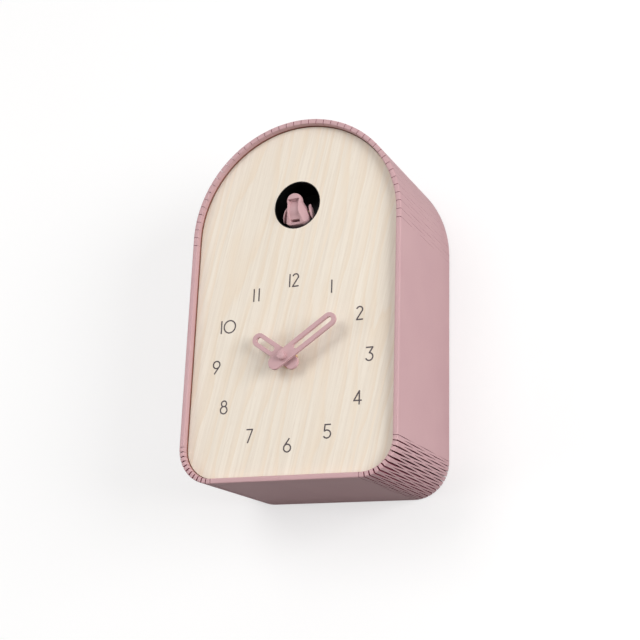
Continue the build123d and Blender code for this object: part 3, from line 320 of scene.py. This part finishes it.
class Row:
    """A row of slots across the board, each widest in its middle, with a bridge between two."""

    def __init__(self, first_middle, outer_width, inner_width, mouth):
        self.middles = [first_middle + SLOT_PITCH * number for number in range(3)]
        self.widths = (outer_width, inner_width)
        self.mouth = mouth

    def half_opening(self, distance, inside):
        """Half the slot's width at a distance behind the front rim, on one side of the board."""
        away = min(abs(distance - middle) for middle in self.middles)
        share = 1 - away / (SLOT_LENGTH / 2)
        if share <= 0:
            return 0.0
        width = self.widths[inside] * (0.12 + 0.88 * min(1.0, 1.3 * share))
        mouth_length = MOUTH_LENGTH * (0.3 if inside else 1.0)
        width += max(0.0, self.mouth - width) * max(0.0, 1 - distance / mouth_length)
        return width * (1 - REAR_CLOSING * distance / depth) / 2


def arc_rows(start, length, count, widths, least):
    """Rows along a stretch of the outline; every other one opens at the rims.

    Widths are those of the middle row's slots: outside, inside and at the front rim. The first
    and last rows open only the share least of them.
    """
    rows = []
    for number in range(count):
        middle = FIRST_SLOT + (number % 2) * SLOT_PITCH / 2
        share = number / (count - 1)
        opening = least + (1 - least) * sin(pi * share) ** 0.5
        rows.append((start + length * share, Row(middle, *(width * opening for width in widths))))
    return rows


def outline_stations():
    """Lines across the board, in order round the outline: (point, outward normal, row or None)."""
    east, west, down = Vector((1, 0, 0)), Vector((-1, 0, 0)), Vector((0, 0, -1))
    corner_x = half_width - CORNER
    corner_z = base_z + CORNER
    bend = CORNER * pi / 2
    side = spring_z - corner_z
    arch = half_width * pi
    # Pieces of the outline from the seam, anticlockwise: (length, start, end, normal) or
    # (length, centre, radius, first angle, last angle).
    pieces = [
        (corner_x - SEAM_X, Vector((SEAM_X, 0, base_z)), Vector((corner_x, 0, base_z)), down),
        (bend, Vector((corner_x, 0, corner_z)), CORNER, -90, 0),
        (side, Vector((half_width, 0, corner_z)), Vector((half_width, 0, spring_z)), east),
        (arch, Vector((0, 0, spring_z)), half_width, 0, 180),
        (side, Vector((-half_width, 0, spring_z)), Vector((-half_width, 0, corner_z)), west),
        (bend, Vector((-corner_x, 0, corner_z)), CORNER, 180, 270),
        (corner_x + SEAM_X, Vector((-corner_x, 0, base_z)), Vector((SEAM_X, 0, base_z)), down),
    ]

    def at(distance):
        for number, piece in enumerate(pieces):
            if distance <= piece[0] or number == len(pieces) - 1:
                share = distance / piece[0]
                if len(piece) == 4:
                    return piece[1].lerp(piece[2], share), piece[3]
                angle = radians(piece[3] + (piece[4] - piece[3]) * share)
                normal = Vector((cos(angle), 0, sin(angle)))
                return piece[1] + normal * piece[2], normal
            distance -= piece[0]

    first_bend = pieces[0][0]
    arch_start = first_bend + bend + side
    second_bend = arch_start + arch + side
    marks = arc_rows(
        arch_start - ARCH_OVERRUN, arch + 2 * ARCH_OVERRUN, ARCH_ROWS, ARCH_WIDTHS, ARCH_LEAST
    )
    for start in (first_bend, second_bend):
        length = bend + 2 * CORNER_OVERRUN
        marks += arc_rows(start - CORNER_OVERRUN, length, CORNER_ROWS, CORNER_WIDTHS, CORNER_LEAST)
    along = 0.0
    for length, *_ in pieces:
        marks.append((along, "seam" if along == 0.0 else None))
        if length > 2 * bend and length < arch:
            marks += [(along + length * step / 6, None) for step in range(1, 6)]
        along += length
    stations = []
    last = -1.0
    for distance, row in sorted(marks, key=lambda mark: (mark[0], mark[1] is None)):
        if row is None and any(r is not None and abs(d - distance) < 0.8 * MM for d, r in marks):
            continue
        if distance - last < 0.05 * MM:
            continue
        stations.append((*at(distance), row))
        last = distance
    return stations


def ladder():
    """Rungs through the board from front to back: (distance behind the rim, outer inset, inner inset)."""
    rungs = []
    for step in range(5):
        turn = radians(90 * step / 4)
        inset = FRONT_EASE * (1 - sin(turn))
        rungs.append((FRONT_EASE * (1 - cos(turn)), inset, inset))
    marks = {MOUTH_LENGTH, depth - MOUTH_LENGTH}
    middle = FIRST_SLOT
    while middle < depth + SLOT_LENGTH / 2:
        for step in (-1.0, -0.97, -0.75, -0.5, -0.24, 0.0, 0.24, 0.5, 0.75, 0.97, 1.0):
            marks.add(middle + step * SLOT_LENGTH / 2)
        middle += SLOT_PITCH / 2
    inner_marks = [m for m in sorted(marks) if FRONT_EASE + 0.2 * MM < m < depth - BACK_EASE - 0.2 * MM]
    last = FRONT_EASE
    for mark in inner_marks:
        if mark - last > 0.12 * MM:
            rungs.append((mark, 0.0, 0.0))
            last = mark
    for step in range(4):
        turn = radians(90 * step / 3)
        inset = BACK_EASE * (1 - cos(turn))
        rungs.append((depth - BACK_EASE + BACK_EASE * sin(turn), inset, inset))
    return rungs


def build_wrap():
    """The bent board as one closed mesh, its slots and the seam in its base cut through it."""
    stations = outline_stations()
    rungs = ladder()
    points = []
    faces = []
    face_materials = []
    count = len(stations)

    def vertex(point, normal, shift, distance, inset):
        """A point on the board, shift along the outline, distance behind the rim."""
        along = Vector((-normal.z, 0, normal.x))
        place = point + along * shift - normal * inset
        points.append((place.x, front_y + distance, place.z))
        return len(points) - 1

    # For each station and side (left, right of its cut): a list of (outer, inner) vertices.
    sides = []
    for point, normal, slots in stations:
        left, right = [], []
        for distance, outer_inset, inner_inset in rungs:
            openings = [0.0, 0.0]
            if slots == "seam":
                openings = [SEAM_GAP / 2, SEAM_GAP / 2]
            elif slots:
                openings = [slots.half_opening(distance, inside) for inside in (0, 1)]
            insets = (outer_inset, BOARD - inner_inset)
            if max(openings) > 0.004 * MM:
                left.append([vertex(point, normal, -o, distance, i) for o, i in zip(openings, insets)])
                right.append([vertex(point, normal, o, distance, i) for o, i in zip(openings, insets)])
            else:
                shared = [vertex(point, normal, 0, distance, i) for i in insets]
                left.append(shared)
                right.append(shared)
        sides.append((left, right))

    def face(corners, material):
        loop = []
        for corner in corners:
            if corner not in loop:
                loop.append(corner)
        if len(loop) > 2:
            faces.append(loop)
            face_materials.append(material)

    last = len(rungs) - 1
    for index in range(count):
        here = sides[index][1]
        there = sides[(index + 1) % count][0]
        for rung in range(last):
            a, b = here[rung], here[rung + 1]
            c, d = there[rung], there[rung + 1]
            face((a[0], c[0], d[0], b[0]), 0)
            # Inner faces deeper than this carry the painted shade of the recess.
            face((a[1], b[1], d[1], c[1]), 0 if rungs[rung][0] < PAINTED_SHADE_DEPTH else 2)
        face((here[0][0], here[0][1], there[0][1], there[0][0]), 0)
        face((here[last][0], there[last][0], there[last][1], here[last][1]), 0)
        slots = stations[index][2]
        if slots is None:
            continue
        left, right = sides[index]
        for rung in range(last):
            if left[rung] is right[rung] and left[rung + 1] is right[rung + 1]:
                continue
            # Slot walls take the darker, redder colour that is partly painted shade.
            wall = 0 if slots == "seam" else 1
            a, b = left[rung], left[rung + 1]
            face((a[0], b[0], b[1], a[1]), wall)
            a, b = right[rung], right[rung + 1]
            face((a[0], a[1], b[1], b[0]), wall)
    materials = [pink_paint, kerf_wall_and_shade, board_inside_shade]
    board = mesh_object("bent_board", points, faces, materials, face_materials)
    shell = bmesh.new()
    shell.from_mesh(board.data)
    bmesh.ops.recalc_face_normals(shell, faces=shell.faces)
    shell.to_mesh(board.data)
    shell.free()
    return board


bent_board = build_wrap()
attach(bent_board, "case")
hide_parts("case_wrap")

# ---------------------------------------------------------------- bird
HOOD_HEIGHT = 6.2 * MM  # from the underside of the hood to the crown
BREAST_HALF = 4.8 * MM
BREAST_HOLLOW = 0.8 * MM  # how far the breast is pressed in at its foot
HOOD_HOLLOW = 2.0 * MM  # and how much further right under the hood


def softened(node, name, voxel, passes):
    """A closed mesh with the shape of a CAD node and all its edges slightly rounded."""
    source = frame["nodes"][node]
    soft = bpy.data.objects.new(name, source.data.copy())
    soft.matrix_world = source.matrix_world.copy()
    bpy.context.scene.collection.objects.link(soft)
    remesh = soft.modifiers.new("even_mesh", "REMESH")
    remesh.mode = "VOXEL"
    remesh.voxel_size = voxel
    smooth = soft.modifiers.new("round_edges", "SMOOTH")
    smooth.factor = 0.5
    smooth.iterations = passes
    fewer = soft.modifiers.new("fewer_faces", "DECIMATE")
    fewer.ratio = 0.4
    soft = baked(soft)
    soft.data.materials.clear()
    soft.data.materials.append(pink_paint)
    soft.data.shade_smooth()
    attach(soft, "bird")
    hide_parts(node)
    return soft


def share_between(value, start, end):
    """0 at start, 1 at end, straight in between and held outside."""
    return min(1.0, max(0.0, (value - start) / (end - start)))


def carve_breast(bird):
    """Hollow the strip under the bird's hood, deepest right under it."""
    low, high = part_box("bird_body")
    hood_z = high[2] - HOOD_HEIGHT
    for vertex in bird.data.vertices:
        x, y, z = bird.matrix_world @ vertex.co
        if vertex.normal.y > -0.5 or y > low[1] + 5 * MM:
            continue
        within = share_between(abs(x), BREAST_HALF, BREAST_HALF - 0.5 * MM)
        within *= share_between(z, hood_z, hood_z - 0.4 * MM)
        within *= share_between(z, low[2] + 4 * MM, low[2] + 7 * MM)
        near_hood = share_between(z, hood_z - 7 * MM, hood_z)
        vertex.co.y += within * (BREAST_HOLLOW + HOOD_HOLLOW * near_hood)


carve_breast(softened("bird_body", "carved_bird", 0.3 * MM, 3))
softened("bird_wing_left", "carved_wing_left", 0.2 * MM, 4)
softened("bird_wing_right", "carved_wing_right", 0.2 * MM, 4)

# ---------------------------------------------------------------- materials on the CAD nodes
for subpart in frame["record"]["subparts"]:
    node = frame["nodes"][subpart["node"]]
    node.data.materials.clear()
    node.data.materials.append(SLOT_MATERIALS[subpart["material_slot"]])
# The chamber shows this near-total black in place of its plastic, partly painted shade of the hole.
chamber = frame["nodes"]["bird_chamber"]
chamber.data.materials.clear()
chamber.data.materials.append(chamber_black_and_shade)

# ---------------------------------------------------------------- camera, lights, floor and wall
camera_data = bpy.data.cameras.new("camera")
camera_data.lens = 65.712
camera_data.sensor_width = 36
camera_data.clip_end = 50
camera = bpy.data.objects.new("camera", camera_data)
bpy.context.scene.collection.objects.link(camera)
bpy.context.scene.camera = camera
CAMERA_PLACE = Vector((0.43210, -0.96002, -0.44784))
CAMERA_TARGET = Vector((0.02908, -0.12250, -0.16288))
CAMERA_ROLL = radians(1.978)
aim = (CAMERA_TARGET - CAMERA_PLACE).to_track_quat("-Z", "Y").to_matrix().to_4x4()
camera.matrix_world = Matrix.Translation(CAMERA_PLACE) @ aim @ Matrix.Rotation(CAMERA_ROLL, 4, "Z")


def area_light(name, place, target, size, power):
    data = bpy.data.lights.new(name, "AREA")
    data.shape = "DISK"
    data.size = size
    data.energy = power
    light = bpy.data.objects.new(name, data)
    light.location = place
    light.rotation_euler = (Vector(target) - Vector(place)).to_track_quat("-Z", "Y").to_euler()
    bpy.context.scene.collection.objects.link(light)


clock_middle = (0, front_y / 2, (wrap_low[2] + wrap_high[2]) / 2)
area_light("key", (-0.8, -3.5, 1.2), clock_middle, 1.9, 35)
area_light("side_fill", (1.9, -1.1, -0.1), clock_middle, 1.2, 34)
area_light("left_fill", (-1.7, -1.3, -0.4), clock_middle, 1.0, 9)

world = bpy.data.worlds.new("studio")
bpy.context.scene.world = world
world.use_nodes = True
sky = world.node_tree.nodes
way = sky.new("ShaderNodeTexCoord")
split = sky.new("ShaderNodeSeparateXYZ")
height = sky.new("ShaderNodeMapRange")
height.inputs["From Min"].default_value = -1.0
shades = sky.new("ShaderNodeValToRGB")
shades.color_ramp.elements[0].position = 0.30
shades.color_ramp.elements[0].color = (0.27, 0.24, 0.235, 1)
shades.color_ramp.elements[1].position = 0.55
shades.color_ramp.elements[1].color = (1.0, 0.985, 0.97, 1)
world.node_tree.links.new(way.outputs["Generated"], split.inputs["Vector"])
world.node_tree.links.new(split.outputs["Z"], height.inputs["Value"])
world.node_tree.links.new(height.outputs["Result"], shades.inputs["Fac"])
world.node_tree.links.new(shades.outputs["Color"], sky["Background"].inputs["Color"])
sky["Background"].inputs["Strength"].default_value = 0.55
bpy.context.scene.view_settings.view_transform = "Standard"


def stage_plane(name, corners, material):
    plane = mesh_object(name, corners, [(0, 1, 2, 3)], [material])
    return plane


wall_paint = Shader("wall_paint", roughness=0.9, specular=0.0)
wall_cloud = wall_paint.noise(wall_paint.stretched((1, 1, 1)), 3)
wall_paint.colour(wall_paint.ramp(wall_cloud, (0.0, grey(0.46)), (1.0, grey(0.48))))
# To the camera the wall also glows a little, so that it reads as the white of a studio sweep.
rays = wall_paint.nodes.new("ShaderNodeLightPath")
glow = wall_paint.nodes.new("ShaderNodeMath")
glow.operation = "MULTIPLY"
glow.inputs[1].default_value = 0.54
wall_paint.links.new(rays.outputs["Is Camera Ray"], glow.inputs[0])
wall_paint.links.new(glow.outputs["Value"], wall_paint.surface.inputs["Emission Strength"])
wall_paint.surface.inputs["Emission Color"].default_value = (1, 1, 1, 1)
# Seen from behind, the wall is clear, so the back of the clock can be looked at.
see_through = wall_paint.nodes.new("ShaderNodeBsdfTransparent")
facing = wall_paint.nodes.new("ShaderNodeNewGeometry")
either = wall_paint.nodes.new("ShaderNodeMixShader")
wall_paint.links.new(facing.outputs["Backfacing"], either.inputs["Fac"])
wall_paint.links.new(wall_paint.surface.outputs["BSDF"], either.inputs[1])
wall_paint.links.new(see_through.outputs["BSDF"], either.inputs[2])
wall_paint.links.new(either.outputs["Shader"], wall_paint.nodes["Material Output"].inputs["Surface"])

WALL_Y = 0.6 * MM
FLOOR_Z = base_z - 0.9
wall = stage_plane(
    "studio_wall",
    [(-3, WALL_Y, FLOOR_Z), (3, WALL_Y, FLOOR_Z), (3, WALL_Y, 2.4), (-3, WALL_Y, 2.4)],
    wall_paint.material,
)
wall.visible_shadow = False
floor_paint = Shader("floor_paint", roughness=0.8, specular=0.1)
floor_cloud = floor_paint.noise(floor_paint.stretched((1, 1, 1)), 4)
floor_shades = ((0.0, (0.80, 0.79, 0.78, 1)), (1.0, (0.84, 0.83, 0.82, 1)))
floor_paint.colour(floor_paint.ramp(floor_cloud, *floor_shades))
floor = stage_plane(
    "studio_floor",
    [(-3, -3, FLOOR_Z), (3, -3, FLOOR_Z), (3, 3, FLOOR_Z), (-3, 3, FLOOR_Z)],
    floor_paint.material,
)
floor.visible_diffuse = False
